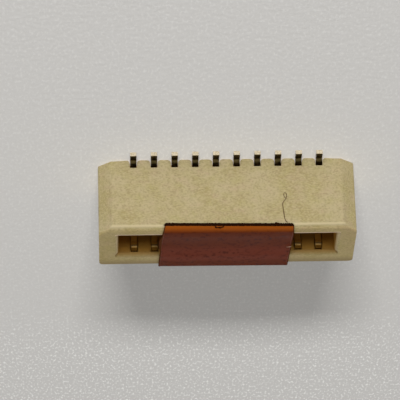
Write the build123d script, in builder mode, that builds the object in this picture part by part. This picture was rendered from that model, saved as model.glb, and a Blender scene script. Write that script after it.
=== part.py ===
"""Board-to-board connector: a two-row surface-mount receptacle that stands upright on its board.

Millimetres. X runs along the rows, Z points in the mating direction, and the solder feet
rest on Z = 0. The origin lies under the middle of the slot. The front, at negative Y, is
the side with the polarising corner chamfers.
"""

import os
from math import radians, tan

from build123d import *

os.makedirs("parts", exist_ok=True)

# Contact rows
pitch = 1.00
positions = 10

# Slot that takes the mating plug
slot_width = 2.15
slot_depth = 2.70
slot_end_room = 0.78
lead_in = 0.16

# Housing walls and outer form
front_wall = 0.76
rear_wall = 0.95
end_wall = 0.935
floor_thickness = 1.04
standoff = 0.08
corner_run = 0.62
corner_drop = 0.52
front_chamfer = 0.22
rear_corner_radius = 0.20

# Strip metal of the contacts
strip_thickness = 0.20
strip_width = 0.30
bend_radius = 0.15

# Clearances between contact and housing
fit_gap = 0.02
channel_side_gap = 0.04
channel_depth = 0.40
channel_top_drop = 0.22
notch_rounding = 0.18

# Solder tail
foot_reach = 0.70
foot_length = 0.535
riser_run = 0.16
tail_rise = 0.26

# Spring beam, measured from the slot's wall and the mating face
beam_root_rise = 0.18
beam_root_radius = 0.60
neck_setback = 0.055
neck_drop = 0.695
neck_radius = 0.20
bump_reach = 0.145
bump_drop = 0.47
bump_radius = 0.17
tip_setback = 0.125
tip_drop = 0.33

# Pick-up film over the slot
film_thickness = 0.07
film_length = 6.25
film_lap = 0.07
film_overhang = 0.20
film_offset = 0.05
film_slant = 3.3
film_turn = 1.0

# Places that follow from the sizes above
slot_face = slot_width / 2
front_face = slot_face + front_wall
rear_face = slot_face + rear_wall
row_length = (positions - 1) * pitch
slot_length = row_length + 2 * slot_end_room
housing_length = slot_length + 2 * end_wall
floor_z = standoff + floor_thickness
mating_z = floor_z + slot_depth
notch_top_z = tail_rise + strip_thickness + fit_gap
channel_top_z = mating_z - channel_top_drop
channel_back = slot_face + channel_depth
slit_thickness = strip_thickness + 2 * fit_gap
slit_inner = channel_back - slit_thickness
slit_centre = channel_back - slit_thickness / 2
foot_tip = front_face + foot_reach
row_reach = row_length / 2 + pitch / 2


def is_notch_edge(edge):
    """True for the long bottom edges of a tail notch."""
    middle = edge.center()
    return abs(middle.X) < row_reach and abs(middle.Z - standoff) < fit_gap


def make_housing():
    """One moulded piece with the slot, the contact channels and the tail notches."""
    with BuildPart() as housing:
        # D-shaped outline, with both front corners cut so that the plug fits one way only
        with BuildSketch(Plane.XY.offset(standoff)):
            with BuildLine():
                right_side = Polyline(
                    (0, rear_face),
                    (housing_length / 2, rear_face),
                    (housing_length / 2, corner_drop - front_face),
                    (housing_length / 2 - corner_run, -front_face),
                    (0, -front_face),
                )
                mirror(right_side, about=Plane.YZ)
            make_face()
        extrude(amount=floor_thickness + slot_depth)
        upright = housing.edges().filter_by(Axis.Z)
        fillet(upright.group_by(Axis.Y)[-1], radius=rear_corner_radius)

        # Chamfer between the front wall and the mating face
        top_edges = housing.faces().sort_by(Axis.Z)[-1].edges()
        chamfer(top_edges.filter_by(Axis.X).sort_by(Axis.Y)[0], length=front_chamfer)

        # Slot with a sloping lead-in all round its mouth
        with BuildSketch(Plane.XY.offset(mating_z)):
            Rectangle(slot_length, slot_width)
        extrude(amount=-slot_depth, mode=Mode.SUBTRACT)
        mouth = housing.faces().sort_by(Axis.Z)[-1].inner_wires()[0]
        chamfer(mouth.edges(), length=lead_in)

        # Channels that leave each spring room to bend back into the wall
        with BuildSketch(Plane.XY.offset(floor_z)):
            for side in (-1, 1):
                with Locations((0, side * (slot_face + channel_depth / 2))):
                    with GridLocations(pitch, 0, positions, 1):
                        Rectangle(strip_width + 2 * channel_side_gap, channel_depth)
        extrude(amount=channel_top_z - floor_z, mode=Mode.SUBTRACT)

        # Slits through the floor that grip each contact by its edges
        with BuildSketch(Plane.XY.offset(standoff)):
            for side in (-1, 1):
                with Locations((0, side * slit_centre)):
                    with GridLocations(pitch, 0, positions, 1):
                        Rectangle(strip_width, slit_thickness)
        extrude(amount=floor_thickness, mode=Mode.SUBTRACT)

        # Notches under the walls that let the tails out, with rounded mouths
        with BuildSketch(Plane.XY.offset(standoff)):
            for inner, outer in ((-slit_inner, -front_face), (slit_inner, rear_face)):
                with Locations((0, (inner + outer) / 2)):
                    with GridLocations(pitch, 0, positions, 1):
                        Rectangle(strip_width + 2 * fit_gap, abs(outer - inner))
        extrude(amount=notch_top_z - standoff, mode=Mode.SUBTRACT)
        fillet(housing.edges().filter_by(Axis.Y).filter_by(is_notch_edge), radius=notch_rounding)
    return housing.part


def contact_path():
    """Corners of the strip's middle line and the bend radius at each, from foot to tip.

    The first value of a corner is its distance from the slot's middle, the second its height.
    """
    base = slit_centre
    foot_z = strip_thickness / 2
    tail_z = tail_rise + strip_thickness / 2
    heel = foot_tip - foot_length
    bends = (
        ((heel, foot_z), bend_radius),
        ((heel - riser_run, tail_z), bend_radius),
        ((base, tail_z), bend_radius),
        ((base, floor_z + beam_root_rise), beam_root_radius),
        ((slot_face + neck_setback, mating_z - neck_drop), neck_radius),
        ((slot_face - bump_reach, mating_z - bump_drop), bump_radius),
    )
    tip = (slot_face + tip_setback, mating_z - tip_drop)
    corners = [(foot_tip, foot_z)] + [corner for corner, radius in bends] + [tip]
    return corners, [radius for corner, radius in bends]


def make_contact(x, side):
    """A stamped strip: solder foot, riser, tail under the wall, spring beam and rounded bump."""
    corners, radii = contact_path()
    section = Plane(origin=(x, 0, 0), x_dir=(0, side, 0), z_dir=(side, 0, 0))
    with BuildPart() as contact:
        with BuildSketch(section):
            with BuildLine():
                FilletPolyline(*corners, radius=radii)
            trace(line_width=strip_thickness)
        extrude(amount=strip_width / 2, both=True)
    return contact.part


def make_pickup_film():
    """A cut piece of film, stuck on by hand over the slot and folded over the front chamfer."""
    film_rear = rear_face + film_overhang
    half_length = film_length / 2
    turned = half_length * tan(radians(film_turn))
    lean = tan(radians(film_slant))
    film_front = -front_face - film_thickness
    front_middle = film_offset + film_front * lean
    rear_middle = film_offset + film_rear * lean
    with BuildPart() as film:
        with BuildSketch(Plane.YZ):
            with BuildLine():
                Polyline(
                    (-front_face, mating_z - front_chamfer - film_lap),
                    (-front_face, mating_z - front_chamfer),
                    (front_chamfer - front_face, mating_z),
                    (film_rear + turned, mating_z),
                )
                offset(amount=film_thickness, side=Side.LEFT)
            make_face()
        extrude(amount=film_length, both=True)
        with BuildSketch(Plane.XY):
            with BuildLine():
                Polyline(
                    (front_middle - half_length, film_front),
                    (front_middle + half_length, film_front),
                    (rear_middle + half_length, film_rear - turned),
                    (rear_middle - half_length, film_rear + turned),
                    close=True,
                )
            make_face()
        extrude(amount=mating_z + 2 * film_thickness, mode=Mode.INTERSECT)
    return film.part


def keep(part, name):
    """Label a finished piece and write it to its own file."""
    part.label = name
    export_step(part, f"parts/{name}.step")


keep(make_housing(), "housing")
keep(make_pickup_film(), "pickup_film")
for row, side in (("front", -1), ("rear", 1)):
    for place in range(positions):
        x = (place - (positions - 1) / 2) * pitch
        keep(make_contact(x, side), f"contact_{row}_{place + 1:02d}")
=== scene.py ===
# %% [markdown]
# # Board-to-board connector
# The real thing is a beige plastic socket, twelve and a half millimetres long, with ten metal contacts
# along each side and a scrap of amber film stuck over its slot. The solid model was drawn in CAD. This
# script loads that model as a fixed frame and gives it the look of the real part.
# Everything below is in metres, because that is Blender's own unit, so most values are written as a number
# of millimetres times `mm`.

# %% Load the solid model
from math import pi, radians, sin, tan

import bmesh
import bpy
from mathutils import Matrix, Vector


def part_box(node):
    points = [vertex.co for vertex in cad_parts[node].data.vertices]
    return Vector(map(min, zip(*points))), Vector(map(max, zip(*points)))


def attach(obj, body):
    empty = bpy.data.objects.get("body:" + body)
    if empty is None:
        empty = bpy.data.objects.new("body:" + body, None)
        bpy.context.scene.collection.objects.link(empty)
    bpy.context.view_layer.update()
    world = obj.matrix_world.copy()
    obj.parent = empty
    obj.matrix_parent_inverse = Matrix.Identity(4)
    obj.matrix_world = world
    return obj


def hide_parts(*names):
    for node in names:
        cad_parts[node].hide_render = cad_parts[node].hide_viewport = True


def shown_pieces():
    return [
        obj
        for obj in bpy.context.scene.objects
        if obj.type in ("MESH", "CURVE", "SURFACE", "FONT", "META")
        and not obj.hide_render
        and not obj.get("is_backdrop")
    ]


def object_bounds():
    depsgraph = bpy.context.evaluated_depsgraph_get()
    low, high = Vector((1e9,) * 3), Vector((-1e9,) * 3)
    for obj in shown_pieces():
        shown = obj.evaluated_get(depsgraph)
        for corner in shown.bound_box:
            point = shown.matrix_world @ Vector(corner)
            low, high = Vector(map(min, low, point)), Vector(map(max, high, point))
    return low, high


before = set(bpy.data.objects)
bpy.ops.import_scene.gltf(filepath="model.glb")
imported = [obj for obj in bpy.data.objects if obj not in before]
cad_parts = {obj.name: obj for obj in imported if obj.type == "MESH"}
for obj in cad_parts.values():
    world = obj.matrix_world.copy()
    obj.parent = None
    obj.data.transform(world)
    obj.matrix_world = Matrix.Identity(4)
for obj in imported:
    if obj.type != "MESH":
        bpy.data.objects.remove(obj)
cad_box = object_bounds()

mm = 0.001
scene = bpy.context.scene
housing_low, housing_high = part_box("housing")
front_wall_y = housing_low.y
mating_z = housing_high.z
print("solids loaded:", len(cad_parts))
print("housing from", housing_low / mm, "to", housing_high / mm)

# %% [markdown]
# ## A few small helpers
# Node trees are built in code here, so the same steps come up again and again: make a node and wire it,
# start a material, and run a Geometry Nodes tree. Each gets a helper, so that later cells hold only what
# is special about a piece.

# %% Helpers that add one node
def fill_inputs(tree, node, inputs):
    """Fill a node's inputs. A socket is wired to its input, any other value is typed in."""
    for place, value in inputs.items():
        if isinstance(value, bpy.types.NodeSocket):
            tree.links.new(value, node.inputs[place])
        else:
            node.inputs[place].default_value = value


def add_node(tree, kind, inputs=None, **settings):
    """Add a node with the given settings and inputs."""
    node = tree.nodes.new(kind)
    for setting, value in settings.items():
        setattr(node, setting, value)
    fill_inputs(tree, node, inputs or {})
    return node


def add_math(tree, operation, first, second=0.0, third=0.0):
    """Add a Math node and return its result."""
    inputs = {0: first, 1: second, 2: third}
    return add_node(tree, "ShaderNodeMath", inputs, operation=operation).outputs[0]


def add_axis(tree, place, axis):
    """Take one coordinate, X, Y or Z, out of a place."""
    return add_node(tree, "ShaderNodeSeparateXYZ", {0: place}).outputs[axis]


print("helpers for single nodes are ready")

# %% [markdown]
# Most looks below depend on a place: how far a point is from the slot's lip, or how high up it is. A mask
# says that as a number from 0 to 1, and these helpers make masks and mix colours with them. A soft step is
# used more often than a hard one, because dirt and wear have no sharp border.

# %% Helpers that make and use masks
def add_step(tree, value, start, end, low=0.0, high=1.0):
    """Add a soft step that goes from low to high while the value goes from start to end."""
    ends = {"Value": value, "From Min": start, "From Max": end, "To Min": low, "To Max": high}
    node = add_node(tree, "ShaderNodeMapRange", ends, interpolation_type="SMOOTHSTEP")
    return node.outputs["Result"]


def add_distance(tree, value, middle):
    """Work out how far a value is from a middle, on either side of it."""
    return add_math(tree, "ABSOLUTE", add_math(tree, "SUBTRACT", value, middle))


def add_overlap(tree, *masks):
    """Multiply masks, so that only the place where all of them hold stays."""
    overlap = masks[0]
    for mask in masks[1:]:
        overlap = add_math(tree, "MULTIPLY", overlap, mask)
    return overlap


def add_mix(tree, share, first, second, blend="MIX"):
    """Add a node that mixes two colours and return the mixed colour."""
    inputs = {0: share, 6: first, 7: second}
    return add_node(tree, "ShaderNodeMix", inputs, data_type="RGBA", blend_type=blend).outputs[2]


def srgb(red, green, blue):
    """Turn a colour as a paint program shows it, 0 to 255, into Blender's linear values."""
    parts = [part / 255 for part in (red, green, blue)]
    linear = [part / 12.92 if part <= 0.04045 else ((part + 0.055) / 1.055) ** 2.4 for part in parts]
    return (*linear, 1.0)


print("helpers for masks and colours are ready")

# %% Helpers that start a material
def new_material(name):
    """Start a material. Return it with its tree, its shader and the place on the piece."""
    material = bpy.data.materials.new(name)
    material.use_nodes = True
    tree = material.node_tree
    place = add_node(tree, "ShaderNodeTexCoord").outputs["Object"]
    return material, tree, tree.nodes["Principled BSDF"], place


def add_noise(tree, place, size, detail=3.0, stretch=(1.0, 1.0, 1.0)):
    """Add a noise pattern whose blotches are about the given size across."""
    moved = add_node(tree, "ShaderNodeMapping", {"Vector": place, "Scale": stretch})
    inputs = {"Vector": moved.outputs["Vector"], "Scale": 1 / size, "Detail": detail}
    return add_node(tree, "ShaderNodeTexNoise", inputs).outputs["Fac"]


def add_bump(tree, height, depth, strength):
    """Add a Bump node and return the tilted surface."""
    inputs = {"Height": height, "Distance": depth, "Strength": strength}
    return add_node(tree, "ShaderNodeBump", inputs).outputs["Normal"]


print("helpers for materials are ready")

# %% [markdown]
# A Geometry Nodes tree only makes a shape while its modifier is on an object. The part has to be plain
# mesh in the end, so the last helper here takes the shape that the tree made and puts it in an object of
# its own.

# %% Helpers that build and run a Geometry Nodes tree
def new_shape_tree(name, sizes):
    """Start a tree with named inputs, and return it with its input and output nodes."""
    tree = bpy.data.node_groups.new(name, "GeometryNodeTree")
    kinds = {float: "NodeSocketFloat", int: "NodeSocketInt"}
    tree.interface.new_socket("Geometry", in_out="INPUT", socket_type="NodeSocketGeometry")
    for label, value in sizes.items():
        tree.interface.new_socket(label, in_out="INPUT", socket_type=kinds[type(value)])
    tree.interface.new_socket("Geometry", in_out="OUTPUT", socket_type="NodeSocketGeometry")
    return tree, tree.nodes.new("NodeGroupInput"), tree.nodes.new("NodeGroupOutput")


def finish_tree(tree, output, geometry, material):
    """End a tree in real mesh with its material on it."""
    real = add_node(tree, "GeometryNodeRealizeInstances", {"Geometry": geometry})
    inputs = {"Geometry": real.outputs[0], "Material": material}
    painted = add_node(tree, "GeometryNodeSetMaterial", inputs)
    tree.links.new(painted.outputs[0], output.inputs[0])


def run_tree(name, start_mesh, tree, sizes):
    """Run the tree on a mesh and keep its result as a plain mesh in a new object."""
    start = bpy.data.objects.new(name, start_mesh)
    scene.collection.objects.link(start)
    modifier = start.modifiers.new("Shape", "NODES")
    modifier.node_group = tree
    for item in tree.interface.items_tree:
        if item.in_out == "INPUT" and item.name in sizes:
            modifier[item.identifier] = sizes[item.name]
    depsgraph = bpy.context.evaluated_depsgraph_get()
    mesh = bpy.data.meshes.new_from_object(start.evaluated_get(depsgraph))
    start.modifiers.remove(modifier)
    bpy.data.objects.remove(start)
    mesh.name = name
    made = bpy.data.objects.new(name, mesh)
    scene.collection.objects.link(made)
    print(name, "has", len(mesh.polygons), "faces")
    return made


print("helpers for Geometry Nodes are ready")

# %% [markdown]
# ## The camera
# The connector was photographed from a long way off for its size, almost square on to its front wall, with
# the mating face tipped slightly towards the lens and the solder feet at the top of the picture. A long
# lens keeps the two ends of the part nearly the same size. The camera turns about a point on its own axis,
# so three angles and one distance say everything: this is easier to adjust than a place and a rotation.

# %% Place the camera
camera_target = Vector((1.26003531, -0.1756003, 1.44874055)) * mm
camera_distance = 148.7164 * mm
camera_azimuth = radians(-2.08346)
camera_elevation = radians(26.12287)
camera_roll = radians(178.29619)
lens_length = 274.52
sensor_width = 36
nearest_seen = 0.01
furthest_seen = 20
quarter_turn = radians(90)

camera_data = bpy.data.cameras.new("camera")
camera_data.lens = lens_length
camera_data.sensor_width = sensor_width
camera_data.clip_start = nearest_seen
camera_data.clip_end = furthest_seen
camera = bpy.data.objects.new("camera", camera_data)
camera.matrix_world = (
    Matrix.Translation(camera_target)
    @ Matrix.Rotation(-camera_azimuth, 4, "Z")
    @ Matrix.Rotation(quarter_turn - camera_elevation, 4, "X")
    @ Matrix.Rotation(camera_roll, 4, "Z")
    @ Matrix.Translation((0, 0, camera_distance))
)
scene.collection.objects.link(camera)
scene.camera = camera
scene.view_settings.view_transform = "Standard"
print("camera at", camera.matrix_world.translation / mm)

# %% [markdown]
# ## The floor
# The part stands on pale paper. A plain sheet does the job, with a very fine grain in its colour and its
# bump, because a perfectly even sheet looks like no material at all. Small pale specks catch the light,
# faintly near the part and more strongly further back.

# %% Lay the floor
floor_reach = 2.0
corners = [(-floor_reach, -floor_reach, 0), (floor_reach, -floor_reach, 0)]
corners += [(floor_reach, floor_reach, 0), (-floor_reach, floor_reach, 0)]
floor_mesh = bpy.data.meshes.new("floor")
floor_mesh.from_pydata(corners, [], [(0, 1, 2, 3)])
floor = bpy.data.objects.new("floor", floor_mesh)
scene.collection.objects.link(floor)
floor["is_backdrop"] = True
print("floor is", 2 * floor_reach, "m wide")

# %% Mix the paper
paper_pale = srgb(199, 197, 194)
paper_fleck = srgb(191, 189, 185)
paper_grain = 0.30 * mm
paper_detail = 4.0
paper_grain_depth = 0.02 * mm
paper_bump = 0.5
paper_roughness = 0.95
paper_specular = 0.0
speck_colour = srgb(228, 227, 223)
speck_size = 0.12 * mm
speck_detail = 2.0
speck_stretch = (1.0, 0.42, 1.0)
speck_range = (0.49, 0.74)
calm_until = 15 * mm
rough_from = 22 * mm
calm_strength = 0.25

paper, tree, shader, place = new_material("paper")
grain = add_noise(tree, place, paper_grain, paper_detail)
specks = add_noise(tree, place, speck_size, speck_detail, speck_stretch)
specks = add_step(tree, specks, *speck_range)
further_back = add_axis(tree, place, "Y")
speck_strength = add_step(tree, further_back, calm_until, rough_from, calm_strength, 1.0)
sheet_colour = add_mix(tree, grain, paper_fleck, paper_pale)
looks = {
    "Base Color": add_mix(tree, add_overlap(tree, specks, speck_strength), sheet_colour, speck_colour),
    "Roughness": paper_roughness,
    "Specular IOR Level": paper_specular,
    "Normal": add_bump(tree, grain, paper_grain_depth, paper_bump),
}
fill_inputs(tree, shader, looks)
floor_mesh.materials.append(paper)
print("paper mixed with", len(tree.nodes), "nodes")

# %% [markdown]
# ## The light
# Each lamp below is a flat soft panel that faces the part. It is given by the direction it comes from, how
# wide and high it looks from the part in degrees, and its level. At a level of 1 a white card that faces
# the lamp renders pure white, so levels can be added up in the head.
# In the photograph the part lies on its rear wall and the light comes from the side of its feet. Here it
# stands on its feet, so that light would come from under the floor. Blender's light linking solves this: a
# lamp can be told which objects it lights and which ones cast its shadow. So the plastic, the metal and the
# floor each have lamps of their own, and the two ceilings and the two strips behind light the whole part.
# One low lamp throws the part's shadow on the floor. The floor's own ceiling lights it evenly, without a
# shadow of the part.

# %% List the lamps
lamps = {
    # name: (azimuth, elevation, width, height, level, what it lights, what casts its shadow)
    "low_key": (4, -25, 80, 40, 0.40, "plastic", "plastic"),
    "metal_key": (4, -25, 80, 40, 0.17, "metal", "part"),
    "front_fill": (0, 13, 90, 14, 0.50, "plastic", "part"),
    "metal_fill": (0, 20, 60, 26, 0.24, "metal", "part"),
    "left_ceiling": (90, 55, 40, 40, 0.31, "part", "part"),
    "right_ceiling": (-90, 55, 40, 40, 0.31, "part", "part"),
    "rear_left_strip": (150, 6.5, 60, 10, 0.12, "part", "part"),
    "rear_right_strip": (-150, 6.5, 60, 10, 0.12, "part", "part"),
    "floor_key": (2.3, 13.3, 14, 3.6, 1.91, "floor", "part"),
    "floor_ceiling": (0, 89, 50, 50, 0.62, "floor", "floor"),
}
print("lamps:", len(lamps))

# %% Hang the lamps
lamp_distance = 0.5
lit_groups = {}
for name in ("part", "plastic", "metal", "floor"):
    lit_groups[name] = bpy.data.collections.new("lit_" + name)
lit_groups["floor"].objects.link(floor)


def hang_lamp(name, azimuth, elevation, width, height, level):
    """Hang a flat soft lamp that faces the part."""
    light = bpy.data.lights.new(name, "AREA")
    light.shape = "RECTANGLE"
    light.size = 2 * lamp_distance * tan(radians(width / 2))
    light.size_y = 2 * lamp_distance * tan(radians(height / 2))
    light.energy = level * (pi * lamp_distance) ** 2
    lamp = bpy.data.objects.new(name, light)
    lamp.matrix_world = (
        Matrix.Rotation(radians(azimuth), 4, "Z")
        @ Matrix.Rotation(quarter_turn - radians(elevation), 4, "X")
        @ Matrix.Translation((0, 0, lamp_distance))
    )
    lamp.visible_camera = False
    scene.collection.objects.link(lamp)
    return lamp


for name, (*hanging, lit, casting) in lamps.items():
    lamp = hang_lamp(name, *hanging)
    lamp.light_linking.receiver_collection = lit_groups[lit]
    lamp.light_linking.blocker_collection = lit_groups[casting]
print("lamps hang", lamp_distance, "m from the part, in", len(lit_groups), "groups")

# %% [markdown]
# The room round the part is what its metal and its film mirror. It is paler near the horizon and dim higher
# up, so that the metal shows a dark and a bright side, as it does on a table in a room.

# %% Paint the room
room_tone = (1.0, 0.99, 0.97, 1.0)
front_horizon_level = 0.54
rear_horizon_level = 0.30
front_level = 0.03
rear_level = 0.06
horizon_turn = (0.2, 0.7)
upper_turn = (-0.1, 0.4)
band_bottom = sin(radians(6))
band_top = sin(radians(14))

world = bpy.data.worlds.new("room")
scene.world = world
world.use_nodes = True
tree = world.node_tree
direction = add_node(tree, "ShaderNodeTexCoord").outputs["Generated"]
backwards = add_axis(tree, direction, "Y")
upwards = add_axis(tree, direction, "Z")
upper_level = add_step(tree, backwards, *upper_turn, front_level, rear_level)
lower_level = add_step(tree, backwards, *horizon_turn, front_horizon_level, rear_horizon_level)
level = add_step(tree, upwards, band_bottom, band_top, lower_level, upper_level)
fill_inputs(tree, tree.nodes["Background"], {"Color": room_tone, "Strength": level})
print("room level", front_level, "in front,", rear_level, "behind,", front_horizon_level, "low down")

# %% [markdown]
# ## The moulded plastic
# The housing is moulded from a heat-proof plastic that is beige all through. Up close it is never one flat
# colour: the melt leaves wide soft clouds, pinkish and olive tints, a darker grain from the mould, and fine
# pale flecks that lie along the way it flowed. Four noise patterns in Object coordinates give those, so
# they run through the part as they do in the real material, and they stay put on every face. Each layer is
# mixed over the last one, which is how a painter would glaze it.

# %% Mottle the plastic
plastic_pale = srgb(190, 175, 136)
plastic_warm = srgb(173, 157, 106)
plastic_pink = srgb(188, 165, 133)
plastic_olive = srgb(180, 168, 113)
plastic_grain = srgb(157, 142, 98)
plastic_fleck = srgb(195, 180, 138)
cloud_size = 1.1 * mm
cloud_detail = 4.0
cloud_range = (0.3, 0.7)
tint_size = 0.45 * mm
tint_detail = 3.0
tint_stretch = (0.6, 1.0, 1.0)
grain_size = 0.10 * mm
grain_detail = 3.0
fleck_size = 0.065 * mm
fleck_detail = 2.0
fleck_stretch = (0.5, 1.0, 1.0)

moulded_plastic, tree, shader, place = new_material("moulded_plastic")
clouds = add_step(tree, add_noise(tree, place, cloud_size, cloud_detail), *cloud_range)
tints = add_noise(tree, place, tint_size, tint_detail, tint_stretch)
grain = add_noise(tree, place, grain_size, grain_detail)
flecks = add_noise(tree, place, fleck_size, fleck_detail, fleck_stretch)
mottle_layers = [
    # pattern, where its step starts and ends, share at its start and end, colour
    (tints, 0.48, 0.72, 0.0, 0.7, plastic_pink),
    (tints, 0.28, 0.50, 0.7, 0.0, plastic_olive),
    (grain, 0.40, 0.68, 0.0, 0.62, plastic_grain),
    (flecks, 0.38, 0.72, 0.0, 0.8, plastic_fleck),
]
mottled = add_mix(tree, clouds, plastic_warm, plastic_pale)
for pattern, start, end, low, high, layer in mottle_layers:
    mottled = add_mix(tree, add_step(tree, pattern, start, end, low, high), mottled, layer)
print("mottle layers over the clouds:", len(mottle_layers))

# %% [markdown]
# Light and shade are painted into the plastic's colour in a few places. The walls down in the slot get a
# browner tone, painted bounce light from wall to wall in there. The slot's front lip gets a painted pale
# highlight and its ends a faint one, its rear lead-in painted brown shade, the mating face a painted warm
# tint of shade, its rear edge painted shade, and the lower edge of the chamfer a painted highlight. Each of
# those is a mask made from the distance to a place on the housing.

# %% Give the places on the plastic their sizes
slot_half_width = 1.075 * mm
slot_half_length = 5.28 * mm
lead_in = 0.16 * mm
chamfer_size = 0.22 * mm
channels_reach = 1.5 * slot_half_width
slot_inside_reach = 1.01 * slot_half_length
brown_depth = 2.3 * lead_in
lip_reach = 1.03 * slot_half_length
rear_lip_start = 0.9 * slot_half_width
rear_lip_end = slot_half_width + 1.4 * lead_in
rear_lip_share = 0.9
lip_width = 0.09 * mm
front_lip_y = -slot_half_width - lead_in
front_lip_band = (0.4 * lip_width, 1.3 * lip_width)
front_lip_share = 0.9
end_lip_x = slot_half_length + 0.3 * lead_in
end_lip_band = (0.3 * lip_width, lip_width)
end_lip_reach = 1.03 * slot_half_width
end_lip_share = 0.15
# the next three sizes place the painted shade towards the rear edge
rear_shade_band = (1.2 * slot_half_width, 1.9 * slot_half_width)
rear_shade_drop = 0.5 * mm
rear_shade_share = 0.85
chamfer_bottom_z = mating_z - chamfer_size
# the next three sizes place the painted highlight on the chamfer's lower edge
edge_highlight_width = 0.10 * mm
edge_highlight_band = (0.2 * edge_highlight_width, edge_highlight_width)
edge_highlight_share = 0.9
print("slot is", 2 * slot_half_length / mm, "by", 2 * slot_half_width / mm, "mm")

# %% Mark those places
x, y, z = (add_axis(tree, place, axis) for axis in "XYZ")
across = add_math(tree, "ABSOLUTE", y)
along = add_math(tree, "ABSOLUTE", x)
in_width = add_math(tree, "LESS_THAN", across, channels_reach)
in_length = add_math(tree, "LESS_THAN", along, slot_inside_reach)
# painted bounce light: the plastic turns browner down inside the slot
down_inside = add_step(tree, z, mating_z - brown_depth, mating_z, 1.0, 0.0)
slot_bounce_shade = add_overlap(tree, in_width, in_length, down_inside)
by_slot = add_math(tree, "LESS_THAN", along, lip_reach)
# painted shade: the slot's rear lead-in turns dark brown
behind_slot = add_math(tree, "GREATER_THAN", y, rear_lip_start)
rear_lead_in_shade = add_step(tree, y, slot_half_width, rear_lip_end, rear_lip_share, 0.0)
rear_lead_in_shade = add_overlap(tree, rear_lead_in_shade, behind_slot, by_slot)
# painted highlight: a pale line along the slot's front lip, and a faint one at its ends
off_front_lip = add_distance(tree, y, front_lip_y)
front_lip = add_step(tree, off_front_lip, *front_lip_band, front_lip_share, 0.0)
front_lip = add_overlap(tree, front_lip, by_slot)
off_end_lip = add_distance(tree, along, end_lip_x)
end_lip = add_step(tree, off_end_lip, *end_lip_band, end_lip_share, 0.0)
end_lip = add_overlap(tree, end_lip, add_math(tree, "LESS_THAN", across, end_lip_reach))
lip_highlight = add_math(tree, "MAXIMUM", front_lip, end_lip)
# painted shade: a warm tint on the chamfer and the mating face
shaded_face = add_step(tree, z, chamfer_bottom_z, mating_z)
# painted shade: the mating face darkens towards its rear edge
near_top = add_step(tree, z, mating_z - rear_shade_drop, mating_z)
rear_edge_shade = add_overlap(tree, add_step(tree, y, *rear_shade_band, 0.0, rear_shade_share), near_top)
# painted highlight: a pale line along the chamfer's lower edge
off_edge_y = add_distance(tree, y, front_wall_y)
off_edge_z = add_distance(tree, z, chamfer_bottom_z)
off_edge = add_math(tree, "MAXIMUM", off_edge_y, off_edge_z)
edge_highlight = add_step(tree, off_edge, *edge_highlight_band, edge_highlight_share, 0.0)
print("places marked with", len(tree.nodes), "nodes so far")

# %% Colour those places and give the plastic its surface
# The next six colours paint light and shade: a warm shade tint, shade on the rear edge, a lip highlight,
# shade on the rear lead-in, an edge highlight and bounce light down in the slot.
painted_shade_tint = (1.0, 0.95, 0.82, 1.0)
rear_shade_colour = srgb(146, 127, 87)
lip_highlight_colour = srgb(232, 206, 176)
rear_lead_in_colour = srgb(134, 108, 56)
edge_highlight_colour = srgb(214, 198, 156)
painted_bounce_colour = srgb(176, 130, 54)
plastic_roughness = (0.52, 0.64)
plastic_specular = 0.2
mould_grain_depth = 0.006 * mm
mould_grain_bump = 0.7

# painted light and shade go over the mottle, by place
mottle_and_painted_light = add_mix(tree, shaded_face, mottled, painted_shade_tint, "MULTIPLY")
painted_light_places = [
    # where, colour
    (rear_edge_shade, rear_shade_colour),
    (lip_highlight, lip_highlight_colour),
    (rear_lead_in_shade, rear_lead_in_colour),
    (edge_highlight, edge_highlight_colour),
    (slot_bounce_shade, painted_bounce_colour),
]
for mask, place_colour in painted_light_places:
    mottle_and_painted_light = add_mix(tree, mask, mottle_and_painted_light, place_colour)
looks = {
    "Base Color": mottle_and_painted_light,
    "Roughness": add_step(tree, clouds, 0.0, 1.0, *plastic_roughness),
    "Specular IOR Level": plastic_specular,
    "Normal": add_bump(tree, grain, mould_grain_depth, mould_grain_bump),
}
fill_inputs(tree, shader, looks)
print("moulded plastic mixed with", len(tree.nodes), "nodes")

# %% [markdown]
# ## The housing
# No moulded edge is perfectly sharp: the mould is cut with a tool of some radius, and the edge shows as a
# fine bright line. The solid has sharp edges, so a copy of it stands in for it here. The copy's loose
# triangles are merged and its flat faces joined, its long outer edges are marked, and a Bevel modifier
# rounds only those. Rounding every edge would make knots in the contact channels, where the ribs are too
# thin for it. The front edges get the full radius and the others less, as on the real part.

# %% Say which edges are rounded
shortest_edge = 0.5 * mm
sharp_angle = radians(30)
same_place = 0.0001 * mm
channel_end = 5.20 * mm
channel_back = 1.50 * mm
channel_top = 3.63 * mm
slot_end = 5.50 * mm


def edge_middle(edge):
    """The point halfway along an edge."""
    return (edge.verts[0].co + edge.verts[1].co) / 2


def is_outline_edge(edge):
    """True for an edge of the mating face's outline, short ones on the rear corners too."""
    middle = edge_middle(edge)
    on_top = all(vert.co.z > mating_z - same_place for vert in edge.verts)
    outside = abs(middle.x) > slot_end or abs(middle.y) > channel_back
    return on_top and outside and edge.is_convex and edge.calc_face_angle() > sharp_angle


def is_long_outer_edge(edge):
    """True for a long sharp edge that isn't down in the contact channels."""
    if len(edge.link_faces) != 2 or not edge.is_convex or edge.calc_face_angle() < sharp_angle:
        return False
    middle = edge_middle(edge)
    by_row = abs(middle.x) < channel_end and abs(middle.y) < channel_back
    in_channels = by_row and middle.z < channel_top
    return edge.calc_length() > shortest_edge and not in_channels


print("edges shorter than", shortest_edge / mm, "mm stay sharp, apart from the outline's")

# %% Merge a copy of the housing and mark those edges
flat_angle = radians(0.5)
front_band = 0.6 * mm
front_share = 1.0
other_share = 0.4

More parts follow.
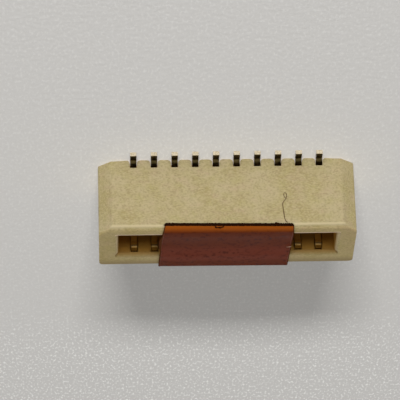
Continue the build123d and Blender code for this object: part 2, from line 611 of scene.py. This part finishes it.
shape = bmesh.new()
shape.from_mesh(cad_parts["housing"].data)
bmesh.ops.remove_doubles(shape, verts=shape.verts, dist=same_place)
bmesh.ops.dissolve_limit(shape, angle_limit=flat_angle, verts=shape.verts, edges=shape.edges)
weight = shape.edges.layers.float.new("bevel_weight_edge")
long_edges = [edge for edge in shape.edges if is_long_outer_edge(edge) or is_outline_edge(edge)]
for edge in long_edges:
    at_front = edge_middle(edge).y < front_wall_y + front_band
    edge[weight] = front_share if at_front else other_share
housing_mesh = bpy.data.meshes.new("moulded_housing")
shape.to_mesh(housing_mesh)
shape.free()
print("edges marked for rounding:", len(long_edges), "of", len(housing_mesh.edges))

# %% [markdown]
# The solid's stored normals are dropped first, because they belong to its unrounded shape. The joined flat
# faces have many corners, and the rounding leaves a few points on top of each other. Two more modifiers
# clean that up: Weld merges those points, and Triangulate cuts the faces into triangles of even shape, so
# that none is left without area. The marked weights, not an angle, decide what is rounded.

# %% Round the marked edges and put the plastic on
edge_radius = 0.10 * mm
edge_steps = 4
weld_distance = 0.001 * mm

if "custom_normal" in housing_mesh.attributes:
    housing_mesh.attributes.remove(housing_mesh.attributes["custom_normal"])
housing_mesh.shade_smooth()
housing_mesh.set_sharp_from_angle(angle=sharp_angle)
housing_mesh.materials.clear()
housing_mesh.materials.append(moulded_plastic)
housing = bpy.data.objects.new("moulded_housing", housing_mesh)
scene.collection.objects.link(housing)
rounding = housing.modifiers.new("Rounded edges", "BEVEL")
rounding.limit_method = "WEIGHT"
rounding.width = edge_radius
rounding.segments = edge_steps
rounding.use_clamp_overlap = False
rounding.harden_normals = True
welding = housing.modifiers.new("Merged doubles", "WELD")
welding.merge_threshold = weld_distance
splitting = housing.modifiers.new("Even triangles", "TRIANGULATE")
splitting.ngon_method = "BEAUTY"
splitting.keep_custom_normals = True
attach(housing, "root")
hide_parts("housing")
print("housing", [round(size / mm, 3) for size in housing.dimensions], "mm")

# %% [markdown]
# ## The contact metal
# Each contact is stamped from spring bronze and plated with a thin dull gold. The solids already have the
# right shape, bends and all, so they stay, and only their material is made here. One strip shows several
# tones, some of them the metal's own and some painted light and shade, so the colour goes by place: cloudy
# plating on the rounded bump, painted shade on the tip above it, which lies back in its channel, brown dull
# metal on the spring beam below it, a painted dark tone on the tail outside in place of the dark room that
# its metal mirrors, with painted shade where it runs into its notch and a painted highlight at its heel,
# and bare pale metal where the strip was sheared off. Fine rolling lines along the strip tilt the surface a
# little, with a Bump node.

# %% Colour the tails
# The first three tones paint light: a dark tone for the dark room that the tail's metal mirrors, a darker
# one for the shade in its notch and a paler one for a highlight at its heel.
dark_reflection_tone = (0.040, 0.028, 0.010, 1.0)
notch_shade = (0.020, 0.010, 0.003, 1.0)
heel_highlight = (0.16, 0.12, 0.045, 1.0)
tarnish = (0.26, 0.16, 0.06, 1.0)
plating_cloud = 0.16 * mm
plating_detail = 3.0
plating_range = (0.35, 0.75)
riser_start = 1.86 * mm
riser_end = 1.96 * mm
heel_place = 2.05 * mm
heel_width = 0.10 * mm
tail_tarnish = 0.3

contact_metal, tree, shader, place = new_material("contact_metal")
outward = add_math(tree, "ABSOLUTE", add_axis(tree, place, "Y"))
height = add_axis(tree, place, "Z")
clouds = add_step(tree, add_noise(tree, place, plating_cloud, plating_detail), *plating_range)
# the tail's base tone is painted dark reflection, with real cloudy tarnish over it
tail = add_mix(tree, add_math(tree, "MULTIPLY", clouds, tail_tarnish), dark_reflection_tone, tarnish)
# painted shade where the tail runs into its notch
tail = add_mix(tree, add_step(tree, outward, riser_start, riser_end), notch_shade, tail)
# painted highlight along the tail's heel
off_heel = add_distance(tree, outward, heel_place)
tail = add_mix(tree, add_step(tree, off_heel, 0.0, heel_width, 1.0, 0.0), tail, heel_highlight)
print("tails turn paler", riser_start / mm, "mm from the middle")

# %% Colour the springs and the sheared ends
gold = (0.42, 0.268, 0.092, 1.0)
beam_brown = (0.56, 0.27, 0.028, 1.0)
# painted shade for the tip, which lies back in its channel
tip_shade = (0.17, 0.075, 0.010, 1.0)
bare_metal = (0.72, 0.64, 0.49, 1.0)
scratched_metal = (0.55, 0.46, 0.30, 1.0)
plating_tarnish = 0.55
beam_share = 0.8
wall_place = 1.75 * mm
wall_band = (0.98 * wall_place, 1.02 * wall_place)
beam_top = 3.24 * mm
bump_start = 3.31 * mm
tip_start = 3.39 * mm
tip_end = 3.43 * mm
foot_end = 2.535 * mm
cut_depth = 0.03 * mm
cut_band = (foot_end - cut_depth, foot_end - 0.3 * cut_depth)
scratch_size = 0.07 * mm
scratch_detail = 2.0
scratch_range = (0.4, 0.7)

plating = add_mix(tree, add_math(tree, "MULTIPLY", clouds, plating_tarnish), gold, tarnish)
on_tail = add_step(tree, outward, *wall_band)
rolled = add_mix(tree, on_tail, plating, tail)
on_spring = add_math(tree, "LESS_THAN", outward, wall_place)
on_beam = add_overlap(tree, add_step(tree, height, beam_top, bump_start, 1.0, 0.0), on_spring)
rolled = add_mix(tree, add_math(tree, "MULTIPLY", on_beam, beam_share), rolled, beam_brown)
# painted shade on the tip
rolled = add_mix(tree, add_step(tree, height, tip_start, tip_end), rolled, tip_shade)
scratches = add_step(tree, add_noise(tree, place, scratch_size, scratch_detail), *scratch_range)
sheared = add_mix(tree, scratches, bare_metal, scratched_metal)
cut_end = add_step(tree, outward, *cut_band)
print("springs end", wall_place / mm, "mm from the middle")

# %% Give the metal its surface and put it on the twenty contacts
rolling_line = 0.012 * mm
rolling_detail = 1.0
rolling_stretch = (1.0, 0.12, 0.12)
rolling_depth = 0.001 * mm
rolling_bump = 0.5
plating_roughness = (0.28, 0.40)
spring_roughness = (0.14, 0.32)
metal_specular = 0.3
full_metallic = 1.0
beam_metallic = 0.5

rubbing = add_step(tree, clouds, 0.0, 1.0, *plating_roughness)
dull = add_overlap(tree, add_step(tree, on_beam, 0.0, 1.0, *spring_roughness), on_spring)
rolling_lines = add_noise(tree, place, rolling_line, rolling_detail, rolling_stretch)
looks = {
    "Base Color": add_mix(tree, cut_end, rolled, sheared),
    "Metallic": add_step(tree, on_beam, 0.0, 1.0, full_metallic, beam_metallic),
    "Roughness": add_math(tree, "ADD", rubbing, dull),
    "Specular IOR Level": metal_specular,
    "Normal": add_bump(tree, rolling_lines, rolling_depth, rolling_bump),
}
fill_inputs(tree, shader, looks)
contacts = [node for name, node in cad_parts.items() if name.startswith("contact_")]
for contact in contacts:
    for slot in contact.material_slots:
        slot.material = contact_metal
print("contacts painted:", len(contacts))

# %% [markdown]
# ## The film
# A scrap of amber polyimide film is stuck over the slot so that a suction nozzle can lift the part. It is
# a clear amber sheet, but here it is opaque, so the light that comes back through it is painted into its
# colour: orange where it bends over the pale chamfer and maroon over the dark slot, a little paler towards
# the rear until it lets go of the housing there. Darker blotches of glue lie under it. Its cut edges are
# dull and brown, and dirt sticks to the glue along the front edge. What belongs to an edge reads the
# distance from that edge, which the next tree writes on every point of the sheet.

# %% Choose the film's colours and where they change
wall_lap = 0.07 * mm
chamfer_run = chamfer_size * 2**0.5
amber = srgb(154, 78, 18)
maroon = srgb(104, 44, 18)
maroon_backed = srgb(119, 54, 35)
maroon_blotch = srgb(68, 26, 14)
glue_colour = srgb(86, 48, 20)
dirt_colour = srgb(30, 11, 2)
face_band = (wall_lap + 0.30 * chamfer_run, wall_lap + 1.45 * chamfer_run)
pale_band = (-0.3 * mm, 0.6 * mm)
let_go_band = (1.38 * mm, 1.80 * mm)
blotch_size = 0.20 * mm
blotch_detail = 4.0
blotch_range = (0.48, 0.72)
blotch_share = 0.7
cut_edge_width = 0.08 * mm
cut_edge_band = (0.3 * cut_edge_width, cut_edge_width)
dirt_width = 0.100 * mm
dirt_ragged = 0.04 * mm
dirt_patch = 0.05 * mm
dirt_detail = 2.0
scuff_size = 0.9 * mm
scuff_detail = 1.0
scuff_range = (0.2, 0.8)
scuff_roughness = (0.23, 0.26)
dull_roughness = 0.65
film_specular = 0.25
dull_specular = 0.04
print("film laps", wall_lap / mm, "mm over the wall and", round(chamfer_run / mm, 3), "mm of chamfer")

# %% Mix the amber film
amber_film, tree, shader, place = new_material("amber_film")
from_front = add_node(tree, "ShaderNodeAttribute", attribute_name="from_front_edge").outputs["Fac"]
from_side = add_node(tree, "ShaderNodeAttribute", attribute_name="from_side_edge").outputs["Fac"]
back = add_axis(tree, place, "Y")
hanging = add_step(tree, back, *let_go_band)
backed = add_math(tree, "SUBTRACT", add_step(tree, back, *pale_band), hanging)
# painted light through the sheet: paler where plastic backs it, darker again where it hangs free
face_colour = add_mix(tree, backed, maroon, maroon_backed)
blotches = add_noise(tree, place, blotch_size, blotch_detail)
blotches = add_step(tree, blotches, *blotch_range, 0.0, blotch_share)
face_colour = add_mix(tree, blotches, face_colour, maroon_blotch)
# painted light through the sheet: orange where it lies over the pale chamfer
film_colour = add_mix(tree, add_step(tree, from_front, *face_band), amber, face_colour)
cut_edge = add_step(tree, from_side, *cut_edge_band, 1.0, 0.0)
ragged = add_noise(tree, place, dirt_patch, dirt_detail)
dirt_reach = add_math(tree, "MULTIPLY_ADD", ragged, dirt_ragged, dirt_width)
dirt = add_math(tree, "LESS_THAN", from_front, dirt_reach)
dull = add_math(tree, "MAXIMUM", dirt, cut_edge)
scuffs = add_noise(tree, place, scuff_size, scuff_detail)
scuffs = add_step(tree, scuffs, *scuff_range, *scuff_roughness)
glued = add_mix(tree, cut_edge, film_colour, glue_colour)
looks = {
    "Base Color": add_mix(tree, dirt, glued, dirt_colour),
    "Roughness": add_math(tree, "MULTIPLY_ADD", dull, dull_roughness, scuffs),
    "Specular IOR Level": add_step(tree, dull, 0.0, 1.0, film_specular, dull_specular),
}
fill_inputs(tree, shader, looks)
print("amber film mixed with", len(tree.nodes), "nodes")

# %% [markdown]
# The film was cut by hand: it is turned by a degree, its sides lean, its left side bulges, the corners on
# the front wall are a little rounded, and it hangs over the rear wall. Its shape follows a rule, which is
# that a flat sheet is wrapped over the housing, so Geometry Nodes make it. A curve runs up the front wall,
# over the chamfer and across the mating face, and a flat grid is laid along it. Change one size and the
# sheet is cut and wrapped again. Left is towards +X, as the camera sees it.

# %% Give the film its sizes
film_sizes = {
    "Top height": mating_z,
    "Wall place": front_wall_y,
    "Chamfer": chamfer_size,
    "Wall lap": wall_lap,
    "Rear reach": 2.225 * mm,
    "Length": 6.345 * mm,
    "Shift": -0.0385 * mm,
    "Lean": tan(radians(2.56)),
    "Turn": tan(radians(0.78)),
    "Thickness": 0.06 * mm,
    "Bend radius": 0.30 * mm,
    "Corner radius": 0.10 * mm,
    "Left trim": 0.117 * mm,
    "Right trim": 0.052 * mm,
    "Trim depth": 0.9 * mm,
    "Left bulge": 0.12 * mm,
    "Bulge place": 1.70 * mm,
    "Bulge reach": 0.80 * mm,
    "Sag": 0.02 * mm,
    "Ripple": 0.010 * mm,
    "Ripple size": 1.4 * mm,
    "Columns": 130,
    "Rows": 90,
    "Bend steps": 6,
}
print("film inputs:", len(film_sizes))

# %% Start the film's tree, with short helpers for it
film_tree, given, made = new_shape_tree("wrapped_film", film_sizes)
size = given.outputs


def work_out(operation, first, second=0.0, third=0.0):
    """Add a Math node to the film's tree and return its result."""
    return add_math(film_tree, operation, first, second, third)


def film_point(y, z, x=0.0):
    """Put three numbers together as one place."""
    return add_node(film_tree, "ShaderNodeCombineXYZ", {"X": x, "Y": y, "Z": z}).outputs[0]


def hump(from_middle):
    """A rounded hump: 1 at the middle, 0 at a distance of 1 and beyond."""
    square = work_out("POWER", work_out("ABSOLUTE", from_middle), 2.0)
    return work_out("MAXIMUM", work_out("SUBTRACT", 1.0, square), 0.0)


print("film tree started")

# %% [markdown]
# The path is a little longer than the sheet at both ends, because a turned sheet needs more path on one
# side than on the other, and the first bend needs a straight run before it.

# %% Draw the path round the housing
half_sheet = work_out("MULTIPLY", size["Length"], 0.5)
turned = work_out("MULTIPLY", half_sheet, size["Turn"])
spare = work_out("ADD", turned, work_out("MULTIPLY", size["Bend radius"], 0.5))
wall_top = work_out("SUBTRACT", size["Top height"], size["Chamfer"])
wall_start = work_out("SUBTRACT", work_out("SUBTRACT", wall_top, size["Wall lap"]), spare)
face_start = work_out("ADD", size["Wall place"], size["Chamfer"])
face_end = work_out("ADD", size["Rear reach"], spare)
path_corners = {
    "Point 1": film_point(size["Wall place"], wall_start),
    "Point 2": film_point(size["Wall place"], wall_top),
    "Point 3": film_point(face_start, size["Top height"]),
    "Point 4": film_point(face_end, size["Top height"]),
}
loop = add_node(film_tree, "GeometryNodeCurvePrimitiveQuadrilateral", path_corners, mode="POINTS")
opened = {"Geometry": loop.outputs[0], "Cyclic": False}
path = add_node(film_tree, "GeometryNodeSetSplineCyclic", opened).outputs[0]
bends = {"Curve": path, "Radius": size["Bend radius"], "Count": size["Bend steps"]}
path = add_node(film_tree, "GeometryNodeFilletCurve", bends, mode="POLY").outputs[0]
path_length = add_node(film_tree, "GeometryNodeCurveLength", {"Curve": path}).outputs[0]
print("path has", len(path_corners), "corners")

# %% [markdown]
# The outline is cut on the flat grid. Each row of the grid gets a half length, shorter at the rounded
# corners and where the sides were trimmed, and a sideways shift for the lean and the bulge. The rows lie
# closer together at the front, where the sheet bends.

# %% Cut the sheet's outline
rows_even = 0.35
rows_bunched = 0.65

grid_size = {"Size X": 1.0, "Size Y": 1.0, "Vertices X": size["Columns"], "Vertices Y": size["Rows"]}
grid = add_node(film_tree, "GeometryNodeMeshGrid", grid_size).outputs["Mesh"]
on_grid = add_node(film_tree, "GeometryNodeInputPosition").outputs[0]
sideways = work_out("MULTIPLY", add_axis(film_tree, on_grid, "X"), 2.0)
row = work_out("ADD", add_axis(film_tree, on_grid, "Y"), 0.5)
row = work_out("MULTIPLY", row, work_out("MULTIPLY_ADD", row, rows_bunched, rows_even))
sheet_depth = work_out("SUBTRACT", path_length, work_out("MULTIPLY", spare, 2.0))
from_front = work_out("MULTIPLY", row, sheet_depth)

radius = size["Corner radius"]
into_corner = work_out("SUBTRACT", radius, work_out("MINIMUM", from_front, radius))
squares = work_out("SUBTRACT", work_out("POWER", radius, 2.0), work_out("POWER", into_corner, 2.0))
inset = work_out("SUBTRACT", radius, work_out("SQRT", work_out("MAXIMUM", squares, 0.0)))
to_left = work_out("MULTIPLY", work_out("ADD", sideways, 1.0), 0.5)
trim = work_out("MULTIPLY", work_out("SUBTRACT", size["Left trim"], size["Right trim"]), to_left)
trim = work_out("ADD", trim, size["Right trim"])
beyond_trim = work_out("DIVIDE", from_front, size["Trim depth"])
close_by = work_out("MAXIMUM", work_out("SUBTRACT", 1.0, beyond_trim), 0.0)
trim = work_out("MULTIPLY", trim, work_out("POWER", close_by, 2.0))
half_length = work_out("SUBTRACT", half_sheet, work_out("ADD", inset, trim))
middle = work_out("ADD", size["Shift"], work_out("MULTIPLY", size["Lean"], from_front))
off_bulge = work_out("SUBTRACT", from_front, size["Bulge place"])
bulge = hump(work_out("DIVIDE", off_bulge, size["Bulge reach"]))
bulge = work_out("MULTIPLY", work_out("MULTIPLY", size["Left bulge"], to_left), bulge)
x = work_out("ADD", work_out("ADD", middle, work_out("MULTIPLY", sideways, half_length)), bulge)
print("outline cut with", len(film_tree.nodes), "nodes so far")

# %% [markdown]
# Each point of the grid then looks up its place and its direction on the path, and moves there. A slow
# noise lifts it a little, and over the slot, where nothing holds it up, the sheet sags.

# %% Lay the sheet along the path
ripple_rest = 0.3
ripple_detail = 1.0

along = work_out("SUBTRACT", work_out("ADD", spare, from_front), work_out("MULTIPLY", x, size["Turn"]))
sample = {"Curves": path, "Length": along}
sample = add_node(film_tree, "GeometryNodeSampleCurve", sample, mode="LENGTH").outputs
path_y = add_axis(film_tree, sample["Position"], "Y")
path_z = add_axis(film_tree, sample["Position"], "Z")
heading_y = add_axis(film_tree, sample["Tangent"], "Y")
heading_z = add_axis(film_tree, sample["Tangent"], "Z")

ripple_scale = work_out("DIVIDE", 1.0, size["Ripple size"])
flat_place = film_point(from_front, 0.0, x)
ripples = {"Vector": flat_place, "Scale": ripple_scale, "Detail": ripple_detail}
ripple = add_node(film_tree, "ShaderNodeTexNoise", ripples).outputs["Fac"]
ripple = work_out("MULTIPLY", work_out("SUBTRACT", ripple, ripple_rest), size["Ripple"])
over_slot = hump(work_out("DIVIDE", path_y, slot_half_width))
lift = work_out("SUBTRACT", ripple, work_out("MULTIPLY", over_slot, size["Sag"]))
outwards = {0: film_point(work_out("MULTIPLY", heading_z, -1.0), heading_y), "Scale": lift}
lifted = add_node(film_tree, "ShaderNodeVectorMath", outwards, operation="SCALE").outputs[0]
laid = add_node(film_tree, "ShaderNodeVectorMath", {0: film_point(path_y, path_z, x), 1: lifted})
print("sheet laid with", len(film_tree.nodes), "nodes so far")

# %% [markdown]
# Before the points move, each is tagged with its distance from the front edge and from the sides, for the
# film's colours. Extrude makes the upper side and the rim, and the sheet itself, turned over, closes the
# shape from below.

# %% Tag the sheet and give it its thickness
bulge_share = 0.8

from_side = work_out("MULTIPLY", work_out("SUBTRACT", 1.0, work_out("ABSOLUTE", sideways)), half_length)
from_side = work_out("SUBTRACT", from_side, work_out("MULTIPLY", bulge, bulge_share))
tagging = {"data_type": "FLOAT", "domain": "POINT"}
sheet = grid
for label, distance in (("from_front_edge", from_front), ("from_side_edge", from_side)):
    tag = {"Geometry": sheet, "Name": label, "Value": distance}
    sheet = add_node(film_tree, "GeometryNodeStoreNamedAttribute", tag, **tagging).outputs[0]
moved = {"Geometry": sheet, "Position": laid.outputs[0]}
sheet = add_node(film_tree, "GeometryNodeSetPosition", moved).outputs[0]
thicken = {"Mesh": sheet, "Offset Scale": size["Thickness"], "Individual": False}
outer = add_node(film_tree, "GeometryNodeExtrudeMesh", thicken, mode="FACES").outputs
rim_flat = {"Geometry": outer["Mesh"], "Shade Smooth": False, "Selection": outer["Side"]}
upper = add_node(film_tree, "GeometryNodeSetShadeSmooth", rim_flat).outputs[0]
lower = add_node(film_tree, "GeometryNodeFlipFaces", {"Mesh": sheet}).outputs[0]
both = add_node(film_tree, "GeometryNodeJoinGeometry")
for side in (upper, lower):
    film_tree.links.new(side, both.inputs[0])
seam = {"Geometry": both.outputs[0], "Distance": same_place}
closed = add_node(film_tree, "GeometryNodeMergeByDistance", seam).outputs[0]
finish_tree(film_tree, made, closed, amber_film)
print("film tree has", len(film_tree.nodes), "nodes")

# %% Wrap the film
film = run_tree("wrapped_film", bpy.data.meshes.new("start"), film_tree, film_sizes)
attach(film, "root")
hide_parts("pickup_film")
print("film", [round(length / mm, 3) for length in film.dimensions], "mm")

# %% [markdown]
# ## Dirt along the film's edge
# The glue that squeezes out along the film's front edge has caught dark dirt, which shows as a ragged black
# line on the wall. It is a row of tiny lumps along a path, so Geometry Nodes scatter it: points along each
# strand, each moved a little at random, and a small rough lump on each one, turned and stretched at random.
# The seed is fixed, so the dirt is the same on every run. A lump has only twenty faces, because there are
# hundreds of them.

# %% Mix the dirt
def patchy_material(name, dark, pale, patch_size, roughness, specular):
    """Mix a dull material whose colour wavers between two tones."""
    material, tree, shader, place = new_material(name)
    patches = add_noise(tree, place, patch_size, detail=2.0)
    looks = {
        "Base Color": add_mix(tree, patches, dark, pale),
        "Roughness": roughness,
        "Specular IOR Level": specular,
    }
    fill_inputs(tree, shader, looks)
    return material


dirt_tones = {"dark": srgb(24, 8, 1), "pale": srgb(54, 24, 6)}
dirt_finish = {"patch_size": 0.04 * mm, "roughness": 0.9, "specular": 0.05}
caught_dirt = patchy_material("caught_dirt", **dirt_tones, **dirt_finish)
print("dirt mixed")

# %% Build the tree that scatters the dirt
dirt_sizes = {
    "Spacing": 0.032 * mm,
    "Spread up": 0.016 * mm,
    "Spread along": 0.03 * mm,
    "Smallest": 0.022 * mm,
    "Largest": 0.056 * mm,
    "Seed": 11,
}
full_turn = 2 * pi
dirt_tree, given, made = new_shape_tree("scattered_dirt", dirt_sizes)
size = given.outputs


def random_number(low, high, offset):
    """Add a random number for each point, from the tree's seed and an offset of its own."""
    inputs = {2: low, 3: high, 8: add_math(dirt_tree, "ADD", size["Seed"], offset)}
    return add_node(dirt_tree, "FunctionNodeRandomValue", inputs, data_type="FLOAT").outputs[1]


def random_vector(low, high, offset):
    """Add three random numbers as one vector."""
    axes = {axis: random_number(low, high, offset + step) for step, axis in enumerate("XYZ")}
    return add_node(dirt_tree, "ShaderNodeCombineXYZ", axes).outputs[0]


def random_shift(spread, offset):
    """Add a random number between minus the spread and the spread."""
    return random_number(add_math(dirt_tree, "MULTIPLY", spread, -1.0), spread, offset)


# the last number of each random call keeps its draws apart from the others
strand_path = add_node(dirt_tree, "GeometryNodeMeshToCurve", {"Mesh": size["Geometry"]}).outputs[0]
spread_out = {"Curve": strand_path, "Length": size["Spacing"]}
spots = add_node(dirt_tree, "GeometryNodeCurveToPoints", spread_out, mode="LENGTH").outputs[0]
up = random_shift(size["Spread up"], 1)
aside = random_shift(size["Spread along"], 2)
shift = add_node(dirt_tree, "ShaderNodeCombineXYZ", {"X": aside, "Z": up}).outputs[0]
spots = add_node(dirt_tree, "GeometryNodeSetPosition", {"Geometry": spots, "Offset": shift}).outputs[0]
lump = add_node(dirt_tree, "GeometryNodeMeshIcoSphere", {"Radius": 1.0, "Subdivisions": 1}).outputs[0]
placing = {
    "Points": spots,
    "Instance": lump,
    "Rotation": random_vector(0.0, full_turn, 3),
    "Scale": random_vector(size["Smallest"], size["Largest"], 6),
}
lumps = add_node(dirt_tree, "GeometryNodeInstanceOnPoints", placing).outputs[0]
finish_tree(dirt_tree, made, lumps, caught_dirt)
print("dirt tree has", len(dirt_tree.nodes), "nodes")

# %% [markdown]
# Two strands run the length of the film's front edge, one on the edge and one above it, so that the line
# is thicker in some places than in others. Three short ones make a curl of glue on the chamfer, a drip
# near one end, and a dark corner at the rear.

# %% Lay the strands and scatter the dirt
dirt_strands = [
    # each strand of dirt goes through these places, in millimetres
    [(-3.06, -1.872, 3.620), (0.00, -1.880, 3.576), (2.98, -1.886, 3.528), (3.06, -1.880, 3.575)],
    [(-3.06, -1.858, 3.664), (0.00, -1.868, 3.620), (3.05, -1.876, 3.585)],
    [(0.62, -1.812, 3.702), (0.52, -1.784, 3.730), (0.36, -1.780, 3.735), (0.26, -1.812, 3.702)],
    [(-2.37, -1.880, 3.575), (-2.31, -1.880, 3.555), (-2.27, -1.880, 3.575)],
    [(3.25, 2.16, 3.845), (3.27, 2.22, 3.840)],
]


def strand_mesh(name, strands):
    """Make a mesh of edges that go through the places of each strand, given in millimetres."""
    places = []
    edges = []
    for strand in strands:
        first = len(places)
        places += [[value * mm for value in corner] for corner in strand]
        edges += [(first + step, first + step + 1) for step in range(len(strand) - 1)]
    mesh = bpy.data.meshes.new(name)
    mesh.from_pydata(places, edges, [])
    return mesh


dirt = run_tree("edge_dirt", strand_mesh("film_edge", dirt_strands), dirt_tree, dirt_sizes)
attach(dirt, "root")

# %% [markdown]
# ## The fibres
# A thin dark textile fibre has landed on the front wall, and a short pale one lies on the film. A fibre is
# a line with a round section that is never quite even, so one tree makes both: a smooth curve through a
# few places, a ring swept along it, and a slow noise that makes it thicker and thinner.

# %% Mix the fibres
fibre_tones = {"dark": srgb(84, 62, 24), "pale": srgb(110, 86, 42)}
lint_tones = {"dark": srgb(196, 150, 120), "pale": srgb(222, 190, 160)}
fibre_finish = {"patch_size": 0.10 * mm, "roughness": 0.6, "specular": 0.5}
fibre_fuzz = patchy_material("fibre", **fibre_tones, **fibre_finish)
pale_fuzz = patchy_material("pale_fibre", **lint_tones, **fibre_finish)
print("fibres mixed, a dark one and a pale one")

# %% Build the tree that makes a fibre
fibre_sizes = {
    "Radius": 0.016 * mm,
    "Ring steps": 8,
    "Length steps": 90,
}
waver_scale = 9.0
waver_detail = 1.0
waver_range = (0.3, 0.7)
thinnest = 0.6
thickest = 1.3

fibre_tree, given, made = new_shape_tree("laid_fibre", fibre_sizes)
size = given.outputs
path = add_node(fibre_tree, "GeometryNodeMeshToCurve", {"Mesh": size["Geometry"]}).outputs[0]
smooth = add_node(fibre_tree, "GeometryNodeCurveSplineType", {"Curve": path}, spline_type="CATMULL_ROM")
steps = {"Curve": smooth.outputs[0], "Count": size["Length steps"]}
path = add_node(fibre_tree, "GeometryNodeResampleCurve", steps).outputs[0]
along = add_node(fibre_tree, "GeometryNodeSplineParameter").outputs["Factor"]
waver = {"Vector": along, "Scale": waver_scale, "Detail": waver_detail}
uneven = add_node(fibre_tree, "ShaderNodeTexNoise", waver).outputs["Fac"]
uneven = add_step(fibre_tree, uneven, *waver_range, thinnest, thickest)
thickness = add_math(fibre_tree, "MULTIPLY", size["Radius"], uneven)
round_section = {"Radius": 1.0, "Resolution": size["Ring steps"]}
ring = add_node(fibre_tree, "GeometryNodeCurvePrimitiveCircle", round_section).outputs[0]
thread = {"Curve": path, "Profile Curve": ring, "Scale": thickness, "Fill Caps": True}
thread = add_node(fibre_tree, "GeometryNodeCurveToMesh", thread).outputs[0]
finish_tree(fibre_tree, made, thread, fibre_fuzz)
print("fibre tree has", len(fibre_tree.nodes), "nodes")

# %% Lay the fibres
# these two heights are in millimetres, as the bends are
fibre_off_wall = 0.012
lint_above_face = 0.068
lint_sizes = {**fibre_sizes, "Radius": 0.012 * mm, "Length steps": 12}
fibre_bends = [
    # across and up on the front wall, in millimetres
    (-2.840, 2.270), (-2.749, 2.139), (-2.719, 2.031), (-2.772, 1.924), (-2.846, 1.990),
    (-2.855, 2.141), (-2.796, 2.290), (-2.695, 2.418), (-2.655, 2.562), (-2.671, 2.787),
    (-2.696, 3.001), (-2.720, 3.258), (-2.762, 3.414), (-2.853, 3.532),
]
lint_bends = [
    # across and back on the film, in millimetres
    (-2.89, 0.17), (-3.00, 0.155), (-3.12, 0.12),
]
fibre_line = [(across, front_wall_y / mm - fibre_off_wall, up) for across, up in fibre_bends]
lint_line = [(across, back, mating_z / mm + lint_above_face) for across, back in lint_bends]


def lay_fibre(name, line, sizes, material):
    """Lay one fibre through the given places."""
    fibre = run_tree(name, strand_mesh(name, [line]), fibre_tree, sizes)
    fibre.data.materials[0] = material
    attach(fibre, "root")


lay_fibre("loose_fibre", fibre_line, fibre_sizes, fibre_fuzz)
lay_fibre("pale_lint", lint_line, lint_sizes, pale_fuzz)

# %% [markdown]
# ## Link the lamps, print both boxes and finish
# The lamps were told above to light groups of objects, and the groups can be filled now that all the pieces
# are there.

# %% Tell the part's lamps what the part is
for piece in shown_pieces():
    lit_groups["part"].objects.link(piece)
    lit_groups["metal" if piece in contacts else "plastic"].objects.link(piece)

# %% Print both boxes and finish
scene_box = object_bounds()
boxes = {"cad": [list(corner) for corner in cad_box], "visual": [list(corner) for corner in scene_box]}
for name, (low, high) in boxes.items():
    print(name, [round(value / mm, 3) for value in low], [round(value / mm, 3) for value in high])
